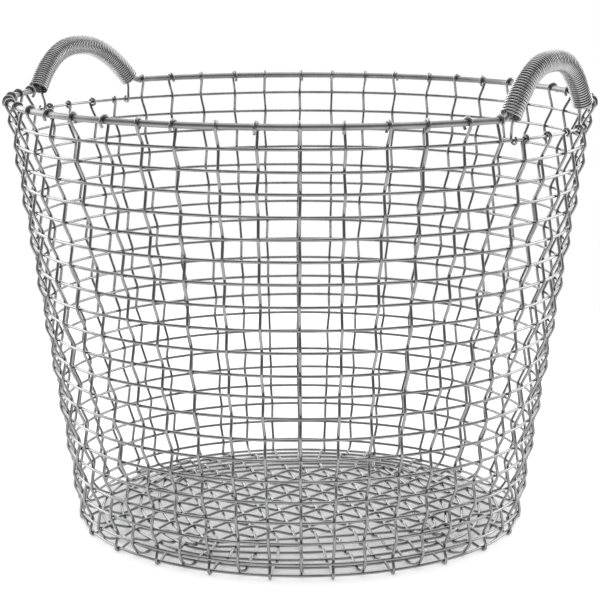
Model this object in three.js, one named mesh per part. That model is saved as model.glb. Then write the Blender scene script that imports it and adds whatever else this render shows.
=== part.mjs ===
// Round tapered basket of hand-woven steel wire, with two arched handles.
// Millimetres, +Z up. The origin is on the floor under the middle of the basket,
// and the two handles lie on the X axis.
//
// The uprights are long U-shaped wires: each hooks over the rim, weaves down the wall,
// crosses the base and climbs the far side. Twelve run one way across the base and twelve
// run the other way, so their middles form a square woven grid. Plain hoops hold them
// apart, and every upright passes in turn outside and inside the next hoop.

import * as THREE from 'three';

// Overall form, measured on the centre lines of the rods and hoops
const rimRadius = 280;
const rimHeight = 416;
const footRadius = 217;
const lowestWallHoopHeight = 16;
const baseDome = 8;

// Weave
const uprightsPerQuarter = 12;
const wallHoopCount = 20;
const baseHoopCount = 5;
const gridPitch = 18.5;

// Wire and rod
const wireDiameter = 2.7;
const rodDiameter = 6;
const clearance = 0.3;
const mitreClearance = 0.2;
const hookTailLength = 4.5;
const hookDrift = 2.6;
const eyeTailLength = 2.5;
const hookWrap = THREE.MathUtils.degToRad(205);

// Handles: the arch is bent out of the rim rod and carries a coil as its grip
const handleHalfAngle = THREE.MathUtils.degToRad(17);
const archRise = 48.5;
const archBendLength = 5;
const coilOuterDiameter = 19;
const coilTurns = 30;
const coilEndSetback = 6;
const tieHookAngle = THREE.MathUtils.degToRad(15);

// Fineness of the wires' and rods' facets
const rodFacets = 6;
const hookSteps = 4;
const archSegments = 12;
const coilStepsPerTurn = 6;
const tieSegments = 12;

const steel = { color: 0x9c9ea0, roughness: 0.38, metalness: 1 };
const rodSteel = { color: 0x8f9194, roughness: 0.34, metalness: 1 };
const coilSteel = { color: 0x96989b, roughness: 0.3, metalness: 1 };

const up = new THREE.Vector3(0, 0, 1);
const uprightCount = 4 * uprightsPerQuarter;
const uprightStep = (2 * Math.PI) / uprightCount;
const hoopSides = uprightCount / 2;
const hoopSideHalfAngle = Math.PI / hoopSides;

// Each wire section has the area of the round wire that it stands for
const wireArea = (Math.PI * wireDiameter ** 2) / 4;
const uprightApex = Math.sqrt(wireArea / (0.75 * Math.sqrt(3)));
const uprightFlat = uprightApex / 2;
const uprightHalfWidth = (uprightApex * Math.sqrt(3)) / 2;
const hoopHalf = Math.sqrt(wireArea) / 2;
const hoopCorner = hoopHalf * Math.SQRT2;
const rodArea = (Math.PI * rodDiameter ** 2) / 4;
const rodReach = Math.sqrt((2 * rodArea) / (rodFacets * Math.sin((2 * Math.PI) / rodFacets)));

// Sections are listed as [outward, sideways] pairs, counter-clockwise
const wireSection = [
  [uprightFlat, -uprightHalfWidth],
  [uprightFlat, uprightHalfWidth],
  [-uprightApex, 0],
];
const hoopSection = [
  [hoopHalf, -hoopHalf],
  [hoopHalf, hoopHalf],
  [-hoopHalf, hoopHalf],
  [-hoopHalf, -hoopHalf],
];
const rodSection = Array.from({ length: rodFacets }, (_, i) => {
  const angle = (2 * Math.PI * (i + 0.5)) / rodFacets;
  return [rodReach * Math.cos(angle), rodReach * Math.sin(angle)];
});

function radial(angle) {
  return new THREE.Vector3(Math.cos(angle), Math.sin(angle), 0);
}

function polar(angle, radius, height) {
  return radial(angle).multiplyScalar(radius).setZ(height);
}

// A wire swept along a path of points with mitred corners. Each point has its own sideways
// direction, and the outward direction is square to it and to the path.
function sweep(path, section, closed = false) {
  const count = path.length;
  const corners = section.length;
  const positions = [];
  const triangles = [];
  for (let i = 0; i < count; i++) {
    const { point, side } = path[i];
    const last = closed ? (i + count - 1) % count : Math.max(i - 1, 0);
    const next = closed ? (i + 1) % count : Math.min(i + 1, count - 1);
    const before = point.clone().sub(path[last].point).projectOnPlane(side).normalize();
    const after = path[next].point.clone().sub(point).projectOnPlane(side).normalize();
    const along = before.clone().add(after).normalize();
    const outward = side.clone().cross(along);
    const mitre = 1 / Math.max(before.dot(along), after.dot(along));
    for (const [outStep, sideStep] of section) {
      const corner = point.clone().addScaledVector(outward, outStep * mitre);
      corner.addScaledVector(side, sideStep);
      positions.push(corner.x, corner.y, corner.z);
    }
  }
  const spans = closed ? count : count - 1;
  for (let i = 0; i < spans; i++) {
    const here = i * corners;
    const there = ((i + 1) % count) * corners;
    for (let k = 0; k < corners; k++) {
      const turn = (k + 1) % corners;
      triangles.push(here + k, here + turn, there + turn);
      triangles.push(here + k, there + turn, there + k);
    }
  }
  if (!closed) {
    const end = (count - 1) * corners;
    for (let k = 1; k < corners - 1; k++) {
      triangles.push(0, k + 1, k);
      triangles.push(end, end + k, end + k + 1);
    }
  }
  const geometry = new THREE.BufferGeometry();
  geometry.setAttribute('position', new THREE.Float32BufferAttribute(positions, 3));
  geometry.setIndex(triangles);
  geometry.computeVertexNormals();
  return geometry;
}

// Wall: a straight cone from the foot hoop to the rim
const wallHoopPitch = (rimHeight - lowestWallHoopHeight) / wallHoopCount;
const wallLean = Math.atan2(rimRadius - footRadius, rimHeight);
const wallPitch = wallHoopPitch / Math.cos(wallLean);

function wallRadius(height) {
  return footRadius + ((rimRadius - footRadius) * height) / rimHeight;
}

function hoopHeight(index) {
  return rimHeight - index * wallHoopPitch;
}

// How far an upright's centre line stays from what it crosses, on the outside and on the
// inside, where its crimps are a given distance apart. What it crosses is given by its reach
// towards the upright on both sides and by its half width along the upright.
function crimp(spacing, reachOut, reachIn, halfWidth) {
  const passes = 8;
  let slope = 0;
  let outside = 0;
  let inside = 0;
  for (let pass = 0; pass < passes; pass++) {
    const stretch = Math.sqrt(1 + slope ** 2);
    const ease = clearance + halfWidth * slope;
    outside = reachOut + ease + uprightApex * stretch;
    inside = reachIn + ease + uprightFlat * stretch;
    slope = (outside + inside) / spacing;
  }
  return { outside, inside };
}

function hoopCrimp(spacing) {
  return crimp(spacing, hoopHalf, hoopHalf, hoopCorner);
}

// A hoop has a straight side between every second upright, so its reach changes with angle
function hoopReach(radius, angle) {
  const mean = (1 + Math.cos(hoopSideHalfAngle)) / 2;
  const apothem = (radius / mean) * Math.cos(hoopSideHalfAngle);
  const fromCorner = (angle - uprightStep / 2) % (2 * hoopSideHalfAngle);
  const positive = fromCorner < 0 ? fromCorner + 2 * hoopSideHalfAngle : fromCorner;
  return apothem / Math.cos(positive - hoopSideHalfAngle);
}

// The foot hoop stands on the uprights that pass under it
const footTurns = [15, -25, -65, -115].map(THREE.MathUtils.degToRad);
const footReach = (hoopCorner + clearance + uprightApex) / Math.cos((footTurns[1] - footTurns[2]) / 2);
const footHoopHeight = footReach * Math.cos((footTurns[2] - footTurns[3]) / 2) + uprightFlat;

// Base: each upright leaves the foot hoop inwards and swings round to its line of the grid
const gridEdge = ((uprightsPerQuarter - 1) / 2) * gridPitch;

function baseHeight(point) {
  return footHoopHeight + baseDome * (1 - (point.x ** 2 + point.y ** 2) / footRadius ** 2);
}

function onBase(quarter, forward, across) {
  const middle = (quarter + 0.5) * (Math.PI / 2);
  const point = radial(middle).multiplyScalar(forward);
  point.addScaledVector(radial(middle + Math.PI / 2), across);
  point.z = baseHeight(point);
  return point;
}

function fanPoint(upright, share) {
  const quarter = Math.floor(upright / uprightsPerQuarter);
  const rank = (upright % uprightsPerQuarter) - (uprightsPerQuarter - 1) / 2;
  const startReach = hoopReach(footRadius, (upright + 0.5) * uprightStep);
  const startForward = startReach * Math.cos(rank * uprightStep);
  const startAcross = startReach * Math.sin(rank * uprightStep);
  const forward = startForward + (gridEdge - startForward) * share;
  const line = rank * gridPitch;
  return onBase(quarter, forward, line + (startAcross - line) * (1 - share) ** 2);
}

function baseHoopShare(index) {
  return (index + 1) / (baseHoopCount + 1);
}

// A base hoop has its corners at the even uprights and at the last upright of each quarter.
// It bends most at the quarters' ends, where its mitre is longest.
function isQuarterEnd(upright) {
  return upright % uprightsPerQuarter === 0 || (upright + 1) % uprightsPerQuarter === 0;
}

function isBaseHoopCorner(upright) {
  return upright % 2 === 0 || isQuarterEnd(upright);
}

function baseHoopCrossing(upright, index) {
  const share = baseHoopShare(index);
  if (isBaseHoopCorner(upright)) return fanPoint(upright, share);
  const a = fanPoint((upright + uprightCount - 1) % uprightCount, share);
  const b = fanPoint((upright + 1) % uprightCount, share);
  const own = fanPoint(upright, share);
  const travel = fanPoint(upright, baseHoopShare(index + 0.5)).sub(own);
  const chord = b.clone().sub(a);
  const toA = a.clone().sub(own);
  const cross = chord.x * travel.y - chord.y * travel.x;
  const part = (toA.y * travel.x - toA.x * travel.y) / cross;
  return a.addScaledVector(chord, part);
}

// Two uprights cross in the grid with the flat of the upper one over the ridge of the lower.
// At the grid's edge an upright comes from the last base hoop, which bends it more.
function gridShift(upright, below, atEdge) {
  const lastHoop = fanPoint(upright, baseHoopShare(baseHoopCount - 1));
  const edgeSpacing = lastHoop.distanceTo(fanPoint(upright, 1));
  const edgeCrimp = hoopCrimp(edgeSpacing).outside;
  const passes = 8;
  let step = 0;
  for (let pass = 0; pass < passes; pass++) {
    const slope = atEdge ? (edgeCrimp + step) / edgeSpacing : (2 * step) / gridPitch;
    const thickness = (uprightApex + uprightFlat) * Math.sqrt(1 + slope ** 2);
    step = (thickness + clearance + uprightHalfWidth * slope) / 2;
  }
  const middle = (uprightFlat - uprightApex) / 2;
  return middle + (below ? -step : step);
}

// An upright passes outside a crossing when the crossing's count and the upright's are alike
function passesOutside(upright, crossing) {
  return (upright + crossing) % 2 === 0;
}

// Hook over a rod or hoop, seen from the side: the steps outward and up from the middle of
// what it hooks over, from the tail to the wall, and the share of the sideways drift there
function hookProfile(reach, outside, tail) {
  const sign = outside ? 1 : -1;
  const profile = [[-sign * reach, -tail, 1]];
  for (let i = 0; i <= hookSteps; i++) {
    const angle = Math.PI - (hookWrap * i) / hookSteps;
    profile.push([sign * reach * Math.cos(angle), reach * Math.sin(angle), 1 - i / hookSteps]);
  }
  return profile;
}

const hookChord = Math.cos(hookWrap / hookSteps / 2);

function isUnderHandle(upright) {
  const angle = (upright + 0.5) * uprightStep;
  return Math.abs(Math.sin(angle)) < Math.sin(handleHalfAngle);
}

// One half of an upright, from its hook down the wall and over the base to the grid's edge
function halfUpright(upright) {
  const angle = (upright + 0.5) * uprightStep;
  const out = radial(angle);
  const side = radial(angle - Math.PI / 2);
  const path = [];
  const firstHoop = isUnderHandle(upright) ? 1 : 0;
  const hookOutside = passesOutside(upright, firstHoop);
  const inner = hookOutside ? uprightApex : uprightFlat;
  const core = firstHoop ? hoopCorner : rodReach;
  const reach = (core + clearance + inner) / hookChord;
  const hookHeight = firstHoop ? hoopHeight(1) : rimHeight;
  const hookRadius = firstHoop ? hoopReach(wallRadius(hookHeight), angle) : rimRadius;
  const tail = firstHoop ? eyeTailLength : hookTailLength;
  for (const [outStep, upStep, drift] of hookProfile(reach, hookOutside, tail)) {
    const point = polar(angle, hookRadius + outStep, hookHeight + upStep);
    point.addScaledVector(side, hookDrift * drift);
    path.push({ point, side });
  }
  for (let hoop = firstHoop + 1; hoop <= wallHoopCount; hoop++) {
    const height = hoopHeight(hoop);
    const spacing = hoop < wallHoopCount ? wallPitch : height - footHoopHeight;
    const { outside, inside } = hoopCrimp(Math.min(wallPitch, spacing));
    const shift = passesOutside(upright, hoop) ? outside : -inside;
    const radius = hoopReach(wallRadius(height), angle) + shift * Math.cos(wallLean);
    path.push({ point: polar(angle, radius, height - shift * Math.sin(wallLean)), side });
  }
  const footCentre = hoopReach(footRadius, angle);
  if (passesOutside(upright, wallHoopCount + 1)) {
    for (const turn of footTurns) {
      const radius = footCentre + footReach * Math.cos(turn);
      path.push({ point: polar(angle, radius, footHoopHeight + footReach * Math.sin(turn)), side });
    }
  } else {
    const { inside } = hoopCrimp(lowestWallHoopHeight - footHoopHeight);
    const shift = inside * Math.SQRT1_2;
    path.push({ point: polar(angle, footCentre - shift, footHoopHeight + shift), side });
  }
  for (let hoop = 0; hoop < baseHoopCount; hoop++) {
    const crossing = baseHoopCrossing(upright, hoop);
    const before = fanPoint(upright, baseHoopShare(hoop - 0.5));
    const after = fanPoint(upright, baseHoopShare(hoop + 0.5));
    const travel = after.sub(before).setZ(0);
    const { outside, inside } = hoopCrimp(travel.length());
    const below = passesOutside(upright, wallHoopCount + 2 + hoop);
    const ease = isQuarterEnd(upright) ? mitreClearance : 0;
    crossing.z += below ? -outside : inside + ease;
    path.push({ point: crossing, side: up.clone().cross(travel).normalize() });
  }
  return path;
}

// A whole upright: down one wall, along its line of the grid and up the opposite wall
function uprightWire(quarter, line) {
  const near = quarter * uprightsPerQuarter + line;
  const far = (quarter + 3) * uprightsPerQuarter - 1 - line;
  const across = (line - (uprightsPerQuarter - 1) / 2) * gridPitch;
  const heading = radial((quarter + 0.5) * (Math.PI / 2)).negate();
  const side = up.clone().cross(heading);
  const path = halfUpright(near);
  for (let cross = 0; cross < uprightsPerQuarter; cross++) {
    const point = onBase(quarter, gridEdge - cross * gridPitch, across);
    const atEdge = cross === 0 || cross === uprightsPerQuarter - 1;
    const below = passesOutside(near, wallHoopCount + baseHoopCount + 2 + cross);
    point.z += gridShift(near, below, atEdge);
    path.push({ point, side });
  }
  const back = halfUpright(far).reverse();
  for (const { point, side: farSide } of back) {
    path.push({ point, side: farSide.clone().negate() });
  }
  return sweep(path, wireSection);
}

// A wall hoop is a revolved square section, set square to the wall
function wallHoop(height, radius, lean) {
  const corner = hoopReach(radius, uprightStep / 2);
  const profile = [...hoopSection, hoopSection[0]].map(([outward, along]) => {
    const x = outward * Math.cos(lean) + along * Math.sin(lean);
    const y = along * Math.cos(lean) - outward * Math.sin(lean);
    return new THREE.Vector2(corner + x, y);
  });
  const geometry = new THREE.LatheGeometry(profile, hoopSides, Math.PI / 2 + uprightStep / 2);
  geometry.rotateX(Math.PI / 2);
  geometry.translate(0, 0, height);
  return geometry;
}

function baseHoop(index) {
  const path = [];
  for (let upright = 0; upright < uprightCount; upright++) {
    if (!isBaseHoopCorner(upright)) continue;
    path.push({ point: baseHoopCrossing(upright, index), side: up.clone().negate() });
  }
  return sweep(path, hoopSection, true);
}

// Handle arch in a plane through its two feet that leans out as the wall does. Its flat
// coordinates are [along the chord, height up the plane].
const archHalfChord = rimRadius * Math.sin(handleHalfAngle);
const archPlane = rimRadius * Math.cos(handleHalfAngle);

function archPoint(share) {
  return new THREE.Vector2(archHalfChord * share, archRise * (1 - share ** 2));
}

function archNormal(share) {
  const slope = (-2 * archRise * share) / archHalfChord;
  return new THREE.Vector2(-slope, 1).normalize();
}

function archUp(hand) {
  return new THREE.Vector3(hand * Math.sin(wallLean), 0, Math.cos(wallLean));
}

function archOutward(hand) {
  return new THREE.Vector3(hand * Math.cos(wallLean), 0, -Math.sin(wallLean));
}

function alongArch(hand, x, y) {
  return archUp(hand).multiplyScalar(y).add(new THREE.Vector3(0, hand * x, 0));
}

function onArch(hand, flat) {
  return alongArch(hand, flat.x, flat.y).add(new THREE.Vector3(hand * archPlane, 0, rimHeight));
}

// Rim rod: round the rim, and up over each handle with a bend at each foot of the arch
function rimRod() {
  const path = [];
  const bendShare = archBendLength / Math.hypot(archHalfChord, 2 * archRise);
  const bendAngle = archBendLength / rimRadius;
  const firstOnRim = Math.ceil((handleHalfAngle + bendAngle) / uprightStep - 0.5);
  for (const hand of [1, -1]) {
    const turn = hand > 0 ? 0 : Math.PI;
    const archSide = archOutward(hand).negate();
    for (let i = 0; i <= archSegments; i++) {
      const share = ((2 * i) / archSegments - 1) * (1 - bendShare);
      path.push({ point: onArch(hand, archPoint(share)), side: archSide });
    }
    const rimAngles = [handleHalfAngle + bendAngle];
    for (let i = firstOnRim; i < uprightCount / 2 - firstOnRim; i++) {
      rimAngles.push((i + 0.5) * uprightStep);
    }
    rimAngles.push(Math.PI - handleHalfAngle - bendAngle);
    for (const angle of rimAngles) {
      const point = polar(turn + angle, rimRadius, rimHeight);
      path.push({ point, side: radial(turn + angle).negate() });
    }
  }
  return sweep(path, rodSection, true);
}

// Coil: hangs on the rod, so its axis lies below the rod's by the slack of its bore
const coilRadius = coilOuterDiameter / 2 - uprightApex;
const coilBore = (coilRadius - uprightFlat) * Math.cos(Math.PI / coilStepsPerTurn);
const coilSlack = coilBore - rodReach - clearance;

const archTable = [];
const archSamples = 400;

function coilAxis(share) {
  return archPoint(share).addScaledVector(archNormal(share), -coilSlack);
}

for (let i = 0; i <= archSamples; i++) {
  const share = (2 * i) / archSamples - 1;
  const point = coilAxis(share);
  const length = i ? archTable[i - 1].length + point.distanceTo(archTable[i - 1].point) : 0;
  archTable.push({ share, point, length });
}
const archLength = archTable[archSamples].length;

function shareAtLength(length) {
  const after = archTable.findIndex((entry) => entry.length >= length);
  const high = archTable[Math.max(after, 1)];
  const low = archTable[Math.max(after, 1) - 1];
  const part = (length - low.length) / (high.length - low.length);
  return low.share + (high.share - low.share) * part;
}

function coilPath(hand) {
  const steps = coilTurns * coilStepsPerTurn;
  const path = [];
  for (let i = 0; i <= steps; i++) {
    const length = coilEndSetback + ((archLength - 2 * coilEndSetback) * i) / steps;
    const share = shareAtLength(length);
    const normal = archNormal(share);
    const turn = (2 * Math.PI * i) / coilStepsPerTurn;
    const axis = coilAxis(share);
    const point = onArch(hand, axis.addScaledVector(normal, coilRadius * Math.cos(turn)));
    point.addScaledVector(archOutward(hand), coilRadius * Math.sin(turn));
    const side = alongArch(hand, normal.y, -normal.x);
    path.push({ point, side });
  }
  return path;
}

// Least gap between a coil's wire and its own next turns, measured on points
function leastGap(path) {
  let least = Infinity;
  for (let i = 0; i < path.length; i++) {
    for (let k = i + coilStepsPerTurn - 1; k < Math.min(i + 2 * coilStepsPerTurn, path.length); k++) {
      least = Math.min(least, path[i].point.distanceTo(path[k].point));
    }
  }
  return least - 2 * uprightHalfWidth;
}

// Tie wire: through the coil along the lower side of its bore, down inside the first hoop
// and up round the outside of it
function tieWire(hand) {
  const turn = hand > 0 ? 0 : Math.PI;
  const height = hoopHeight(1);
  const reach = 2 * hoopCorner + clearance;
  const shoulder = reach * (Math.SQRT2 - 1);
  const apexRadius = archHalfChord ** 2 / (2 * archRise);
  const chordSag = (archLength / tieSegments) ** 2 / (8 * apexRadius);
  const low = coilBore - hoopCorner - clearance - chordSag;
  const end = (sign) => {
    const angle = turn + sign * tieHookAngle;
    const radius = hoopReach(wallRadius(height), angle);
    const side = radial(angle + (sign * Math.PI) / 2);
    const steps = [
      [reach, eyeTailLength],
      [reach, -shoulder],
      [shoulder, -reach],
      [-shoulder, -reach],
      [-reach, -shoulder],
      [-reach, eyeTailLength],
    ];
    return steps.map(([outStep, upStep]) => {
      return { point: polar(angle, radius + outStep, height + upStep), side };
    });
  };
  const path = end(-1);
  for (let i = 0; i <= tieSegments; i++) {
    const length = coilEndSetback + ((archLength - 2 * coilEndSetback) * i) / tieSegments;
    const share = shareAtLength(length);
    const normal = archNormal(share);
    const flat = coilAxis(share).addScaledVector(normal, -low);
    path.push({ point: onArch(hand, flat), side: alongArch(hand, normal.x, normal.y) });
  }
  path.push(...end(1).reverse());
  return sweep(path, hoopSection);
}

const basket = new THREE.Group();

function addPiece(name, geometry, finish) {
  const mesh = new THREE.Mesh(geometry, new THREE.MeshStandardMaterial(finish));
  mesh.name = name;
  basket.add(mesh);
}

function numbered(stem, number) {
  return `${stem}_${String(number).padStart(2, '0')}`;
}

for (let line = 0; line < uprightsPerQuarter; line++) {
  addPiece(numbered('upright_a', line + 1), uprightWire(0, line), steel);
  addPiece(numbered('upright_b', line + 1), uprightWire(1, line), steel);
}
for (let hoop = 1; hoop <= wallHoopCount; hoop++) {
  const height = hoopHeight(hoop);
  addPiece(numbered('wall_hoop', hoop), wallHoop(height, wallRadius(height), wallLean), steel);
}
addPiece('foot_hoop', wallHoop(footHoopHeight, footRadius, 0), steel);
for (let hoop = 0; hoop < baseHoopCount; hoop++) {
  addPiece(numbered('base_hoop', hoop + 1), baseHoop(hoop), steel);
}
addPiece('rim_rod', rimRod(), rodSteel);
for (const [name, hand] of [['right', 1], ['left', -1]]) {
  const path = coilPath(hand);
  console.log(`least gap of coil ${name}: ${leastGap(path).toFixed(2)} mm`);
  addPiece(`handle_coil_${name}`, sweep(path, wireSection), coilSteel);
  addPiece(`tie_wire_${name}`, tieWire(hand), steel);
}

export default basket;
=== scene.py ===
import math
import random

import bpy
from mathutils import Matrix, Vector
from mathutils.kdtree import KDTree


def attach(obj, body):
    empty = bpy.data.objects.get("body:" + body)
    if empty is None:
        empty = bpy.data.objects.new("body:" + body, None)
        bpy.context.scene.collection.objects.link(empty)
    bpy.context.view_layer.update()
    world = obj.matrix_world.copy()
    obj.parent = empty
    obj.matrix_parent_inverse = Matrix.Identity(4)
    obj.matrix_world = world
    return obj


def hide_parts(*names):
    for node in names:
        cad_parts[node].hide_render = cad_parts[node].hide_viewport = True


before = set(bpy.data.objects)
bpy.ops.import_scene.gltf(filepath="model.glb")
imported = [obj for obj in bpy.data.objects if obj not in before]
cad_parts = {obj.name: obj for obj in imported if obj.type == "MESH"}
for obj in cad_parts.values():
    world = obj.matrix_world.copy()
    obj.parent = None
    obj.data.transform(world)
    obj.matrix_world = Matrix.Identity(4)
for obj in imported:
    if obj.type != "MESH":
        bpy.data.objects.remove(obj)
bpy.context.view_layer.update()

# Sizes of the basket in metres, on the centre lines of its wires and rods
RIM_RADIUS = 0.280
RIM_HEIGHT = 0.416
FOOT_RADIUS = 0.217
LOWEST_HOOP_HEIGHT = 0.016
BASE_DOME = 0.008
WALL_HOOPS = 20
BASE_HOOPS = 5
UPRIGHTS_PER_QUARTER = 12
GRID_PITCH = 0.0185
WIRE = 0.00285
ROD = 0.006

# Hooks over the rim and small eyes under the handles, with their turns and curls in degrees
HOOK_DRIFT = 0.0018
HOOK_OPENING = 0.35
HOOK_CURL = (35, 75)
EYE_REACH = 0.0031
EYE_OPENING = 0.15
EYE_CURL = (70, 110)
HOOK_END_TURN = -20
HOOK_STEPS = 9

# Turns in degrees at which an upright lies on the foot hoop as it passes outside and under it
FOOT_TURNS = (15, -30, -75, -120)

# Handles
HANDLE_HALF_ANGLE = math.radians(17)
ARCH_RISE = 0.0485
ARCH_BEND = 0.005
ARCH_STEPS = 14
ARCH_SAMPLES = 400
COIL_DIAMETER = 0.0198
COIL_WIRE = 0.0023
COIL_STEPS_PER_TURN = 22
COIL_SETBACK = 0.0055
TIE_WIRE = 0.0025
TIE_PLAY = 0.0005
TIE_STEPS = 14
TIE_HOOK_ANGLE = math.radians(14.4)
TIE_HOOK_TURNS = range(60, -181, -40)

# The two handles are bent by hand and differ a little: 1 is the right one and -1 the left one
ARCH_EXTRA = {1: 0.002, -1: -0.002}
ARCH_LEAN_SHARE = {1: 0.4, -1: 1.5}
ARCH_FULLNESS = {1: 2.6, -1: 2.3}
SECOND_FOOT_SHARE = {1: 0.82, -1: 1.0}
COIL_TURNS = {1: 63, -1: 69}

# How far a bend's curve reaches towards the next bend, as a share of the way to it
ROUND_BEND = 0.34
CRIMP_BEND = 0.17

# Sides of the round sections, and steps of a curve from one bend to the next
WIRE_SIDES = 10
ROD_SIDES = 16
COIL_SIDES = 8
WIRE_FINENESS = 5
HOOP_FINENESS = 4
ROD_FINENESS = 6
MERGE_DISTANCE = 0.000005
SMOOTH_ANGLE = math.radians(50)

# Small unevenness of wire that was bent and woven by hand
HAND_SEED = 11
HAND_SWAY = 0.00045
HAND_LIFT = 0.00040
HAND_WANDER = 0.0024
LIFT_WAVES = 3
FEWEST_WAVES = 2
CROWDED_HOOPS = 11
CROWDING = 0.0024

# Wires in the middle of the base: one set is bent more than the other, and they cross with some play
BENT_SET = 0.0024
BASE_PLAY = 0.0003
STRAIGHT_SET = WIRE + BASE_PLAY - BENT_SET

# Sizes that follow from those above
UPRIGHTS = 4 * UPRIGHTS_PER_QUARTER
UPRIGHT_STEP = 2 * math.pi / UPRIGHTS
HOOP_PITCH = (RIM_HEIGHT - LOWEST_HOOP_HEIGHT) / WALL_HOOPS
WALL_LEAN = math.atan2(RIM_RADIUS - FOOT_RADIUS, RIM_HEIGHT)
FOOT_HOOP_HEIGHT = 1.5 * WIRE
MIDDLE_RANK = (UPRIGHTS_PER_QUARTER - 1) / 2
GRID_EDGE = MIDDLE_RANK * GRID_PITCH
ARCH_HALF_CHORD = RIM_RADIUS * math.sin(HANDLE_HALF_ANGLE)
ARCH_PLANE = RIM_RADIUS * math.cos(HANDLE_HALF_ANGLE)
COIL_RADIUS = (COIL_DIAMETER - COIL_WIRE) / 2
COIL_BORE = COIL_RADIUS - COIL_WIRE / 2
COIL_SLACK = COIL_BORE - ROD / 2
UP = Vector((0, 0, 1))

hand = random.Random(HAND_SEED)
sway_of = [[hand.uniform(-1, 1) for _ in range(WALL_HOOPS + 2)] for _ in range(UPRIGHTS)]
lift_of = [[hand.uniform(-1, 1) for _ in range(2 * LIFT_WAVES)] for _ in range(WALL_HOOPS + 2)]
wander_of = [[hand.uniform(-1, 1) for _ in range(2)] for _ in range(UPRIGHTS)]
curl_of = [hand.uniform(0, 1) for _ in range(UPRIGHTS)]


# Places on the basket

def radial(angle):
    return Vector((math.cos(angle), math.sin(angle), 0))


def polar(angle, radius, height):
    return radial(angle) * radius + UP * height


def upright_angle(upright):
    return (upright + 0.5) * UPRIGHT_STEP


def angle_at_hoop(upright, hoop):
    at_rim, at_middle = wander_of[upright]
    below = hoop / WALL_HOOPS
    wander = at_rim * (1 - below) + at_middle * math.sin(math.pi * below)
    return upright_angle(upright) + HAND_WANDER * wander / RIM_RADIUS


def wall_radius(height):
    return FOOT_RADIUS + (RIM_RADIUS - FOOT_RADIUS) * height / RIM_HEIGHT


def hoop_lift(hoop, angle):
    total = 0
    for wave, share in enumerate(lift_of[hoop][:LIFT_WAVES]):
        phase = math.pi * lift_of[hoop][wave + LIFT_WAVES]
        total += share * math.sin((wave + FEWEST_WAVES) * angle + phase)
    return HAND_LIFT * total


def hoop_height(hoop, angle):
    crowding = CROWDING * math.sin(math.pi * min(hoop / CROWDED_HOOPS, 1))
    return RIM_HEIGHT - hoop * HOOP_PITCH + crowding + hoop_lift(hoop, angle)


def on_wall_hoop(hoop, angle):
    height = hoop_height(hoop, angle)
    return polar(angle, wall_radius(height), height)


def base_height(point):
    return FOOT_HOOP_HEIGHT + BASE_DOME * (1 - (point.x ** 2 + point.y ** 2) / FOOT_RADIUS ** 2)


def on_base(quarter, forward, across):
    middle = (quarter + 0.5) * math.pi / 2
    point = radial(middle) * forward + radial(middle + math.pi / 2) * across
    point.z = base_height(point)
    return point


def fan_point(upright, share):
    quarter, place = divmod(upright, UPRIGHTS_PER_QUARTER)
    rank = place - MIDDLE_RANK
    start_forward = FOOT_RADIUS * math.cos(rank * UPRIGHT_STEP)
    start_across = FOOT_RADIUS * math.sin(rank * UPRIGHT_STEP)
    forward = start_forward + (GRID_EDGE - start_forward) * share
    line = rank * GRID_PITCH
    return on_base(quarter, forward, line + (start_across - line) * (1 - share) ** 2)


def base_hoop_share(hoop):
    return (hoop + 1) / (BASE_HOOPS + 1)


def passes_outside(upright, crossing):
    return (upright + crossing) % 2 == 0


def is_under_handle(upright):
    return abs(math.sin(upright_angle(upright))) < math.sin(HANDLE_HALF_ANGLE)


# Wires: a curve is laid through the bends, given a round section and made a mesh

def tidy_mesh(piece):
    bpy.ops.object.mode_set(mode="EDIT")
    bpy.ops.mesh.select_all(action="SELECT")
    bpy.ops.mesh.remove_doubles(threshold=MERGE_DISTANCE)
    bpy.ops.mesh.normals_make_consistent(inside=False)
    bpy.ops.object.mode_set(mode="OBJECT")
    bpy.ops.object.shade_smooth_by_angle(angle=SMOOTH_ANGLE)
    return piece


def start_curve(name, thickness, sides):
    bpy.ops.object.select_all(action="DESELECT")
    bpy.ops.curve.primitive_bezier_curve_add(location=(0, 0, 0))
    piece = bpy.context.object
    piece.name = name
    run = piece.data
    run.splines.clear()
    run.dimensions = "3D"
    run.bevel_depth = thickness / 2
    # A round section has four sides and two more for each step of its resolution
    run.bevel_resolution = (sides - 4) // 2
    run.use_fill_caps = True
    return piece


def count_bends(piece, spans):
    # The map along the wire runs from 0 to 1; it is stretched so that each bend is a whole number
    for corner in piece.data.uv_layers[0].data:
        corner.uv.y *= spans


def bent_wire(name, bends, thickness, closed=False, fineness=WIRE_FINENESS, sides=WIRE_SIDES):
    piece = start_curve(name, thickness, sides)
    piece.data.resolution_u = fineness
    count = len(bends)
    spline = piece.data.splines.new("BEZIER")
    spline.bezier_points.add(count - 1)
    spline.use_cyclic_u = closed
    for i, (place, softness) in enumerate(bends):
        before = bends[i - 1][0] if i or closed else place
        after = bends[(i + 1) % count][0] if i + 1 < count or closed else place
        heading = (place - before).normalized() + (after - place).normalized()
        heading.normalize()
        bend = spline.bezier_points[i]
        bend.handle_left_type = "FREE"
        bend.handle_right_type = "FREE"
        bend.co = place
        bend.handle_left = place - heading * (place - before).length * softness
        bend.handle_right = place + heading * (after - place).length * softness
    bpy.ops.object.convert(target="MESH")
    count_bends(piece, count if closed else count - 1)
    return tidy_mesh(piece)


def bent_hoop(name, bends):
    return bent_wire(name, bends, WIRE, closed=True, fineness=HOOP_FINENESS)


def wound_wire(name, places, thickness):
    piece = start_curve(name, thickness, COIL_SIDES)
    spline = piece.data.splines.new("POLY")
    spline.points.add(len(places) - 1)
    for point, place in zip(spline.points, places):
        point.co = (*place, 1)
    bpy.ops.object.convert(target="MESH")
    return tidy_mesh(piece)


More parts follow.
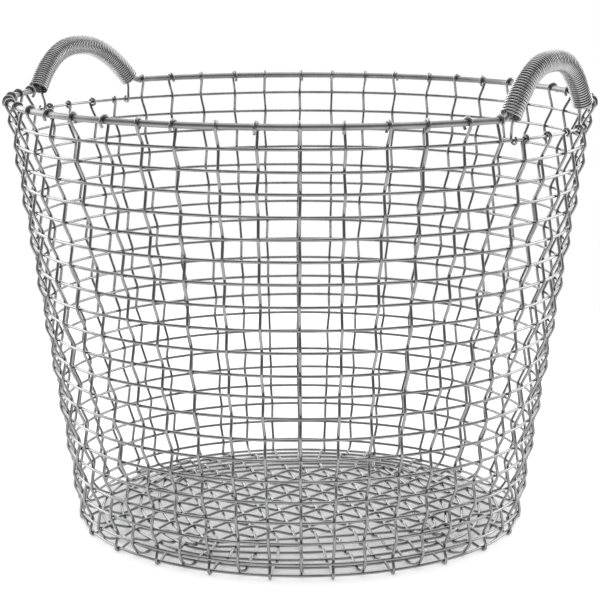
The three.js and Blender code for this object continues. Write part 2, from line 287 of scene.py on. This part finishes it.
def mark_ridges(piece, axis, radius, thickness):
    # How far out of the coil each point lies, from -1 inside it to 1 on its ridges
    tree = KDTree(len(axis))
    for i, place in enumerate(axis):
        tree.insert(place, i)
    tree.balance()
    ridge = piece.data.attributes.new("ridge", "FLOAT", "POINT")
    for i, vertex in enumerate(piece.data.vertices):
        reach = tree.find(vertex.co)[2]
        ridge.data[i].value = 2 * (reach - radius) / thickness


# Uprights

def hook_bends(upright):
    small = is_under_handle(upright)
    hoop = 1 if small else 0
    angle = angle_at_hoop(upright, hoop)
    side = radial(angle - math.pi / 2)
    out = radial(angle) * (1 if passes_outside(upright, hoop) else -1)
    reach = EYE_REACH if small else (ROD + WIRE) / 2
    opening = EYE_OPENING if small else HOOK_OPENING
    least, most = EYE_CURL if small else HOOK_CURL
    curl = least + (most - least) * curl_of[upright]
    middle = on_wall_hoop(1, angle) if small else polar(angle, RIM_RADIUS, RIM_HEIGHT)
    tip = 180 + curl
    bends = []
    for step in range(HOOK_STEPS + 1):
        turn = tip + (HOOK_END_TURN - tip) * step / HOOK_STEPS
        spread = reach * (1 + opening * max(0, turn - 180) / curl)
        drift = HOOK_DRIFT * max(0, turn / tip)
        turned = math.radians(turn)
        place = middle + out * spread * math.cos(turned) + UP * spread * math.sin(turned)
        bends.append((place + side * drift, ROUND_BEND))
    return bends


def wall_bends(upright):
    first = 2 if is_under_handle(upright) else 1
    bends = []
    for hoop in range(first, WALL_HOOPS + 1):
        angle = angle_at_hoop(upright, hoop)
        normal = radial(angle) * math.cos(WALL_LEAN) - UP * math.sin(WALL_LEAN)
        side = radial(angle - math.pi / 2)
        shift = WIRE if passes_outside(upright, hoop) else -WIRE
        sway = HAND_SWAY * sway_of[upright][hoop]
        place = on_wall_hoop(hoop, angle) + normal * shift + side * sway
        bends.append((place, CRIMP_BEND))
    return bends


def foot_bends(upright):
    angle = upright_angle(upright)
    out = radial(angle)
    middle = polar(angle, FOOT_RADIUS, FOOT_HOOP_HEIGHT)
    if not passes_outside(upright, WALL_HOOPS + 1):
        return [(middle + (UP - out).normalized() * WIRE, ROUND_BEND)]
    bends = []
    for turn in FOOT_TURNS:
        turned = math.radians(turn)
        bends.append((middle + (out * math.cos(turned) + UP * math.sin(turned)) * WIRE, ROUND_BEND))
    return bends


def base_bends(upright):
    bends = []
    for hoop in range(BASE_HOOPS):
        place = fan_point(upright, base_hoop_share(hoop))
        shift = -WIRE if passes_outside(upright, WALL_HOOPS + 2 + hoop) else WIRE
        bends.append((place + UP * shift, CRIMP_BEND))
    return bends


def half_upright(upright):
    upper = hook_bends(upright) + wall_bends(upright)
    return upper + foot_bends(upright) + base_bends(upright)


def upright_bends(quarter, line):
    near = quarter * UPRIGHTS_PER_QUARTER + line
    far = (quarter + 3) * UPRIGHTS_PER_QUARTER - 1 - line
    across = (line - MIDDLE_RANK) * GRID_PITCH
    bends = half_upright(near)
    crimp = STRAIGHT_SET if quarter else BENT_SET
    for crossing in range(UPRIGHTS_PER_QUARTER):
        place = on_base(quarter, GRID_EDGE - crossing * GRID_PITCH, across)
        below = passes_outside(near, WALL_HOOPS + BASE_HOOPS + 2 + crossing)
        bends.append((place + UP * (-crimp if below else crimp), CRIMP_BEND))
    return bends + half_upright(far)[::-1]


# Hoops

def wall_hoop_bends(hoop):
    angles = [upright_angle(upright) for upright in range(UPRIGHTS)]
    return [(on_wall_hoop(hoop, angle), ROUND_BEND) for angle in angles]


def foot_hoop_bends():
    angles = [upright_angle(upright) for upright in range(UPRIGHTS)]
    return [(polar(angle, FOOT_RADIUS, FOOT_HOOP_HEIGHT), ROUND_BEND) for angle in angles]


def base_hoop_bends(hoop):
    share = base_hoop_share(hoop)
    return [(fan_point(upright, share), ROUND_BEND) for upright in range(UPRIGHTS)]


# Rim, handles, grips and ties

def handle_turn(side):
    return 0 if side > 0 else math.pi


def foot_angle(side, share):
    # An arch runs from its first foot, at share -1, over its top, at 0, to its second foot, at 1
    return HANDLE_HALF_ANGLE * (SECOND_FOOT_SHARE[side] if share > 0 else 1)


def arch_rise(side):
    return ARCH_RISE + ARCH_EXTRA[side]


def arch_lean(side):
    return WALL_LEAN * ARCH_LEAN_SHARE[side]


def arch_up(side):
    return Vector((side * math.sin(arch_lean(side)), 0, math.cos(arch_lean(side))))


def arch_out(side):
    return Vector((side * math.cos(arch_lean(side)), 0, -math.sin(arch_lean(side))))


def arch_place(side, share, drop):
    # A place at a drop below the rod's centre line, and the direction square to the rod there
    angle = foot_angle(side, share)
    half_chord = RIM_RADIUS * math.sin(angle)
    reach = ARCH_PLANE + (RIM_RADIUS * math.cos(angle) - ARCH_PLANE) * abs(share)
    fullness = ARCH_FULLNESS[side]
    steepness = fullness * abs(share) ** (fullness - 1)
    slope = -math.copysign(steepness, share) * arch_rise(side) / half_chord
    normal = Vector((-slope, 1)).normalized()
    lift = Vector((0, side * normal.x, 0)) + arch_up(side) * normal.y
    foot = Vector((side * reach, side * half_chord * share, RIM_HEIGHT))
    rise = arch_up(side) * arch_rise(side) * (1 - abs(share) ** fullness)
    return foot + rise - lift * drop, lift


def arch_line(side, drop):
    shares = [2 * i / ARCH_SAMPLES - 1 for i in range(ARCH_SAMPLES + 1)]
    return [arch_place(side, share, drop)[0] for share in shares]


def arch_shares(side, drop, count):
    # Shares at even lengths along the arch, between the two ends of the coil
    places = arch_line(side, drop)
    lengths = [0]
    for here, there in zip(places, places[1:]):
        lengths.append(lengths[-1] + (there - here).length)
    shares = []
    low = 0
    for i in range(count + 1):
        length = COIL_SETBACK + (lengths[-1] - 2 * COIL_SETBACK) * i / count
        while low + 2 < len(lengths) and lengths[low + 1] < length:
            low += 1
        part = (length - lengths[low]) / (lengths[low + 1] - lengths[low])
        shares.append(2 * (low + part) / ARCH_SAMPLES - 1)
    return shares


def rim_bends():
    bends = []
    bend_share = ARCH_BEND / math.hypot(ARCH_HALF_CHORD, 2 * ARCH_RISE)
    bend_angle = ARCH_BEND / RIM_RADIUS
    hooked = [upright for upright in range(UPRIGHTS // 2) if not is_under_handle(upright)]
    for side in (1, -1):
        for i in range(ARCH_STEPS + 1):
            share = (2 * i / ARCH_STEPS - 1) * (1 - bend_share)
            bends.append((arch_place(side, share, 0)[0], ROUND_BEND))
        angles = [foot_angle(side, 1) + bend_angle]
        angles += [upright_angle(upright) for upright in hooked]
        angles.append(math.pi - foot_angle(-side, -1) - bend_angle)
        for angle in angles:
            bends.append((polar(handle_turn(side) + angle, RIM_RADIUS, RIM_HEIGHT), ROUND_BEND))
    return bends


def coil_places(side):
    steps = COIL_TURNS[side] * COIL_STEPS_PER_TURN
    places = []
    for i, share in enumerate(arch_shares(side, COIL_SLACK, steps)):
        middle, lift = arch_place(side, share, COIL_SLACK)
        turned = 2 * math.pi * i / COIL_STEPS_PER_TURN
        spoke = lift * math.cos(turned) + arch_out(side) * math.sin(turned)
        places.append(middle + spoke * COIL_RADIUS)
    return places


def tie_hook(side, end):
    angle = handle_turn(side) + end * TIE_HOOK_ANGLE
    middle = on_wall_hoop(1, angle)
    out = radial(angle)
    reach = (WIRE + TIE_WIRE) / 2 + TIE_PLAY
    bends = []
    for turn in TIE_HOOK_TURNS:
        turned = math.radians(turn)
        place = middle + (out * math.cos(turned) + UP * math.sin(turned)) * reach
        bends.append((place, ROUND_BEND))
    bends.append((middle - out * reach + UP * 2 * reach, ROUND_BEND))
    return bends


def tie_bends(side):
    low = 2 * COIL_BORE - ROD / 2 - TIE_WIRE / 2
    bends = tie_hook(side, -1)
    for share in arch_shares(side, low, TIE_STEPS):
        bends.append((arch_place(side, share, low)[0], ROUND_BEND))
    return bends + tie_hook(side, 1)[::-1]


# Nodes of materials and of the air

def add_node(tree, kind, **settings):
    node = tree.nodes.new(kind)
    for name, value in settings.items():
        setattr(node, name, value)
    return node


def maths(tree, operation, *values):
    # Each value is a plain number or another node's output
    node = add_node(tree, "ShaderNodeMath", operation=operation)
    for socket, value in zip(node.inputs, values):
        if isinstance(value, bpy.types.NodeSocket):
            tree.links.new(value, socket)
        else:
            socket.default_value = value
    return node.outputs[0]


def remap(tree, value, span, start=0, end=1, curve="SMOOTHSTEP"):
    node = add_node(tree, "ShaderNodeMapRange", interpolation_type=curve)
    tree.links.new(value, node.inputs["Value"])
    node.inputs["From Min"].default_value = span[0]
    node.inputs["From Max"].default_value = span[1]
    node.inputs["To Min"].default_value = start
    node.inputs["To Max"].default_value = end
    return node.outputs["Result"]


def noise(tree, place, scale, detail):
    node = add_node(tree, "ShaderNodeTexNoise")
    node.inputs["Scale"].default_value = scale
    node.inputs["Detail"].default_value = detail
    tree.links.new(place, node.inputs["Vector"])
    return node.outputs["Fac"]


# Finishes: drawn steel with lengthwise streaks, cloudy patches, a fine grain, and painted shade at bends
# or in the grooves of a coil
STREAKS_ROUND = 9
STREAK_DETAIL = 3
PATCH_SCALE = 55
PATCH_DETAIL = 4
PATCH_SHARE = 0.6
GRAIN_SCALE = 1600
GRAIN_DETAIL = 2
DULL_LEVEL = 0.36
BRIGHT_LEVEL = 0.62
SHEEN_SPAN = (0.35, 0.65)
RELIEF_STRENGTH = 0.12
RELIEF_DEPTH = 0.00006
COLD_CAST = 0.005
# Painted shade: its dark grey, its reach along a wire from each bend, and its reach from a coil's ridges
PAINTED_SHADE_GREY = 0.05
BEND_SHADE_SPAN = (0.03, 0.14)
GROOVE_SPAN = (0.25, 0.85)


def steel_grey(level):
    return (level, level, level + COLD_CAST, 1)


def bend_painted_shade(tree):
    # Painted shade where wires cross: 1 at each bend, falling to 0 a short way along the wire
    place = add_node(tree, "ShaderNodeTexCoord")
    split = add_node(tree, "ShaderNodeSeparateXYZ")
    tree.links.new(place.outputs["UV"], split.inputs[0])
    away = maths(tree, "PINGPONG", split.outputs["Y"], 0.5)
    return remap(tree, away, BEND_SHADE_SPAN, 1, 0)


def groove_painted_shade(tree):
    # Painted shade: 0 on the ridges of a coil, outside and inside, and 1 in the grooves between its
    # turns
    ridge = add_node(tree, "ShaderNodeAttribute", attribute_name="ridge")
    away = maths(tree, "ABSOLUTE", ridge.outputs["Fac"])
    return remap(tree, away, GROOVE_SPAN, 1, 0)


def drawn_steel(name, dull, bright, smooth, rough, streaks, painted_shade=None, deepest_painted_shade=0):
    finish = bpy.data.materials.new(name)
    finish.use_nodes = True
    tree = finish.node_tree
    shader = tree.nodes["Principled BSDF"]
    shader.inputs["Metallic"].default_value = 1

    place = add_node(tree, "ShaderNodeTexCoord")
    stretch = add_node(tree, "ShaderNodeMapping")
    stretch.inputs["Scale"].default_value = (STREAKS_ROUND, streaks, 1)
    tree.links.new(place.outputs["UV"], stretch.inputs["Vector"])
    drawn = noise(tree, stretch.outputs["Vector"], 1, STREAK_DETAIL)
    cloud = noise(tree, place.outputs["Object"], PATCH_SCALE, PATCH_DETAIL)
    grain = noise(tree, place.outputs["Object"], GRAIN_SCALE, GRAIN_DETAIL)

    colour = add_node(tree, "ShaderNodeValToRGB")
    colour.color_ramp.elements[0].position = DULL_LEVEL
    colour.color_ramp.elements[0].color = steel_grey(dull)
    colour.color_ramp.elements[1].position = BRIGHT_LEVEL
    colour.color_ramp.elements[1].color = steel_grey(bright)
    streak_part = maths(tree, "MULTIPLY", drawn, 1 - PATCH_SHARE)
    patches = maths(tree, "MULTIPLY_ADD", cloud, PATCH_SHARE, streak_part)
    tree.links.new(patches, colour.inputs["Fac"])
    surface = colour.outputs["Color"]
    # Painted shade: the colour is mixed towards a dark grey by the bend or groove mask
    if painted_shade:
        darker = add_node(tree, "ShaderNodeMix", data_type="RGBA", blend_type="MIX")
        darker.inputs["B"].default_value = (PAINTED_SHADE_GREY, PAINTED_SHADE_GREY, PAINTED_SHADE_GREY, 1)
        tree.links.new(maths(tree, "MULTIPLY", painted_shade(tree), deepest_painted_shade), darker.inputs["Factor"])
        tree.links.new(surface, darker.inputs["A"])
        surface = darker.outputs["Result"]
    tree.links.new(surface, shader.inputs["Base Color"])

    sheen = remap(tree, drawn, SHEEN_SPAN, smooth, rough, "LINEAR")
    tree.links.new(sheen, shader.inputs["Roughness"])

    bump = add_node(tree, "ShaderNodeBump")
    bump.inputs["Strength"].default_value = RELIEF_STRENGTH
    bump.inputs["Distance"].default_value = RELIEF_DEPTH
    tree.links.new(maths(tree, "ADD", drawn, grain), bump.inputs["Height"])
    tree.links.new(bump.outputs["Normal"], shader.inputs["Normal"])
    return finish


wire_finish = drawn_steel(
    "satin_drawn_wire", dull=0.31, bright=0.46, smooth=0.10, rough=0.24, streaks=1.5,
    painted_shade=bend_painted_shade, deepest_painted_shade=0.92)
rod_finish = drawn_steel("satin_drawn_rod", dull=0.29, bright=0.41, smooth=0.36, rough=0.48, streaks=2)
coil_finish = drawn_steel(
    "satin_coil_wire", dull=0.44, bright=0.60, smooth=0.20, rough=0.34, streaks=160,
    painted_shade=groove_painted_shade, deepest_painted_shade=0.96)


# The basket's pieces

def fit(piece, node, finish):
    piece.data.materials.clear()
    piece.data.materials.append(finish)
    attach(piece, "root")
    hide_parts(node)


for line in range(UPRIGHTS_PER_QUARTER):
    for quarter, letter in ((0, "a"), (1, "b")):
        number = f"{letter}_{line + 1:02d}"
        upright = bent_wire(f"upright_wire_{number}", upright_bends(quarter, line), WIRE)
        fit(upright, f"upright_{number}", wire_finish)
for hoop in range(1, WALL_HOOPS + 1):
    ring = bent_hoop(f"wall_ring_{hoop:02d}", wall_hoop_bends(hoop))
    fit(ring, f"wall_hoop_{hoop:02d}", wire_finish)
foot_ring = bent_hoop("foot_ring", foot_hoop_bends())
fit(foot_ring, "foot_hoop", wire_finish)
for hoop in range(BASE_HOOPS):
    ring = bent_hoop(f"base_ring_{hoop + 1:02d}", base_hoop_bends(hoop))
    fit(ring, f"base_hoop_{hoop + 1:02d}", wire_finish)
rim = bent_wire("rim_and_handles", rim_bends(), ROD, closed=True, fineness=ROD_FINENESS, sides=ROD_SIDES)
fit(rim, "rim_rod", rod_finish)
for side, word in ((1, "right"), (-1, "left")):
    grip = wound_wire(f"grip_coil_{word}", coil_places(side), COIL_WIRE)
    mark_ridges(grip, arch_line(side, COIL_SLACK), COIL_RADIUS, COIL_WIRE)
    fit(grip, f"handle_coil_{word}", coil_finish)
    tie = bent_wire(f"grip_tie_{word}", tie_bends(side), TIE_WIRE)
    fit(tie, f"tie_wire_{word}", wire_finish)


# Studio: a pale sheet on the floor, a white backdrop, soft lamps and a dark room behind the camera

def seen_directly(tree):
    # 1 for what the camera sees, straight or mirrored in metal, and 0 for plain lighting
    path = add_node(tree, "ShaderNodeLightPath")
    mirrored = maths(tree, "MAXIMUM", path.outputs["Is Glossy Ray"], path.outputs["Is Transmission Ray"])
    return maths(tree, "MAXIMUM", path.outputs["Is Camera Ray"], mirrored)


# Camera
PHOTO_TURN = math.radians(33.4)
CAMERA_REACH = 1.932
CAMERA_HEIGHT = 0.588
CAMERA_TILT = math.radians(10.9)
FOCAL_PIXELS = 1990
IMAGE_PIXELS = 600
SENSOR = 36

towards_camera = Vector((math.sin(PHOTO_TURN), -math.cos(PHOTO_TURN), 0))
camera_left = Vector((-math.cos(PHOTO_TURN), -math.sin(PHOTO_TURN), 0))

bpy.ops.object.select_all(action="DESELECT")
bpy.ops.object.camera_add()
camera = bpy.context.object
camera.location = towards_camera * CAMERA_REACH + UP * CAMERA_HEIGHT
camera.rotation_euler = (math.pi / 2 - CAMERA_TILT, 0, PHOTO_TURN)
camera.data.sensor_width = SENSOR
camera.data.lens = SENSOR * FOCAL_PIXELS / IMAGE_PIXELS
bpy.context.scene.camera = camera

# The sheet, which glows less under the basket than around it: a painted shadow under the basket
SHEET_RADIUS = 1.1
SHEET_SIDES = 96
SHEET_WHITE = 0.93
INNER_GLOW = 0.11
SHEET_GLOW = 0.40
GLOW_SPAN = (0.188, 0.222)

bpy.ops.object.select_all(action="DESELECT")
bpy.ops.mesh.primitive_circle_add(
    vertices=SHEET_SIDES, radius=SHEET_RADIUS, fill_type="NGON", location=(0, 0, 0))
sheet = bpy.context.object
sheet.name = "floor_sheet"
paper = bpy.data.materials.new("white_paper")
paper.use_nodes = True
paper_tree = paper.node_tree
paper_tree.nodes.clear()
matt = add_node(paper_tree, "ShaderNodeBsdfDiffuse")
matt.inputs["Color"].default_value = (SHEET_WHITE, SHEET_WHITE, SHEET_WHITE, 1)
where = add_node(paper_tree, "ShaderNodeTexCoord")
from_middle = add_node(paper_tree, "ShaderNodeVectorMath", operation="LENGTH")
glow = add_node(paper_tree, "ShaderNodeEmission")
both = add_node(paper_tree, "ShaderNodeAddShader")
paper_out = add_node(paper_tree, "ShaderNodeOutputMaterial")
paper_tree.links.new(where.outputs["Object"], from_middle.inputs[0])
# Painted shadow: the glow is weaker inside the foot of the basket than outside it
around = remap(paper_tree, from_middle.outputs["Value"], GLOW_SPAN, INNER_GLOW, SHEET_GLOW)
strength = maths(paper_tree, "MULTIPLY", around, seen_directly(paper_tree))
paper_tree.links.new(strength, glow.inputs["Strength"])
paper_tree.links.new(matt.outputs[0], both.inputs[0])
paper_tree.links.new(glow.outputs[0], both.inputs[1])
paper_tree.links.new(both.outputs[0], paper_out.inputs["Surface"])
sheet.data.materials.append(paper)

# The air gives even light. Seen or mirrored it is a white backdrop, and metal also mirrors the
# dark room on the photographer's side, above the level of the table.
EVEN_LIGHT = 0.52
ROOM_DARK = 0.19
ROOM_TURN = math.radians(-4)
ROOM_SIDE_SPAN = (-0.45, 0.25)
ROOM_FLOOR_SPAN = (-0.45, 0.05)

world = bpy.data.worlds.new("studio")
bpy.context.scene.world = world
world.use_nodes = True
air = world.node_tree
air.nodes.clear()
heading = add_node(air, "ShaderNodeTexCoord")
facing = add_node(air, "ShaderNodeVectorMath", operation="DOT_PRODUCT")
facing.inputs[1].default_value = radial(PHOTO_TURN - math.pi / 2 + ROOM_TURN)
upward = add_node(air, "ShaderNodeSeparateXYZ")
straight = add_node(air, "ShaderNodeLightPath")
level = add_node(air, "ShaderNodeMix", data_type="FLOAT")
level.inputs["A"].default_value = EVEN_LIGHT
backdrop = add_node(air, "ShaderNodeBackground")
backdrop.inputs["Color"].default_value = (1, 1, 1, 1)
air_out = add_node(air, "ShaderNodeOutputWorld")
air.links.new(heading.outputs["Generated"], facing.inputs[0])
air.links.new(heading.outputs["Generated"], upward.inputs[0])
on_room_side = remap(air, facing.outputs["Value"], ROOM_SIDE_SPAN)
above_table = remap(air, upward.outputs["Z"], ROOM_FLOOR_SPAN)
in_room = maths(air, "MULTIPLY", on_room_side, above_table)
room = remap(air, in_room, (0, 1), 1, ROOM_DARK, "LINEAR")
backdrop_level = maths(air, "MAXIMUM", room, straight.outputs["Is Camera Ray"])
air.links.new(seen_directly(air), level.inputs["Factor"])
air.links.new(backdrop_level, level.inputs["B"])
air.links.new(level.outputs["Result"], backdrop.inputs["Strength"])
air.links.new(backdrop.outputs[0], air_out.inputs["Surface"])

# Lamps: places in metres, and powers in watts
AIM_HEIGHT = 0.2
TOP_HEIGHT = 2.4
TOP_FORWARD = 0.1
BACK_HEIGHT = 0.95
BACK_REACH = 2.0
BACK_TO_LEFT = 0.2
SIDE_HEIGHT = 0.9
SIDE_REACH = 1.7
SIDE_BACK = 1.0
SIDE_SIZE = (1.3, 1.4)


def soft_lamp(name, place, size, power):
    bpy.ops.object.select_all(action="DESELECT")
    bpy.ops.object.light_add(type="AREA", location=place)
    lamp = bpy.context.object
    lamp.name = name
    lamp.data.shape = "RECTANGLE"
    lamp.data.size = size[0]
    lamp.data.size_y = size[1]
    lamp.data.energy = power
    lamp.rotation_euler = (UP * AIM_HEIGHT - place).to_track_quat("-Z", "Y").to_euler()


top_place = UP * TOP_HEIGHT + towards_camera * TOP_FORWARD
back_place = UP * BACK_HEIGHT - towards_camera * BACK_REACH + camera_left * BACK_TO_LEFT
side_place = UP * SIDE_HEIGHT - towards_camera * SIDE_BACK
soft_lamp("top_lamp", top_place, size=(2.4, 2.4), power=16)
soft_lamp("back_lamp", back_place, size=(2.8, 0.8), power=11)
soft_lamp("left_lamp", side_place + camera_left * SIDE_REACH, SIDE_SIZE, power=12)
soft_lamp("right_lamp", side_place - camera_left * SIDE_REACH, SIDE_SIZE, power=11)

bpy.context.scene.view_settings.view_transform = "Standard"
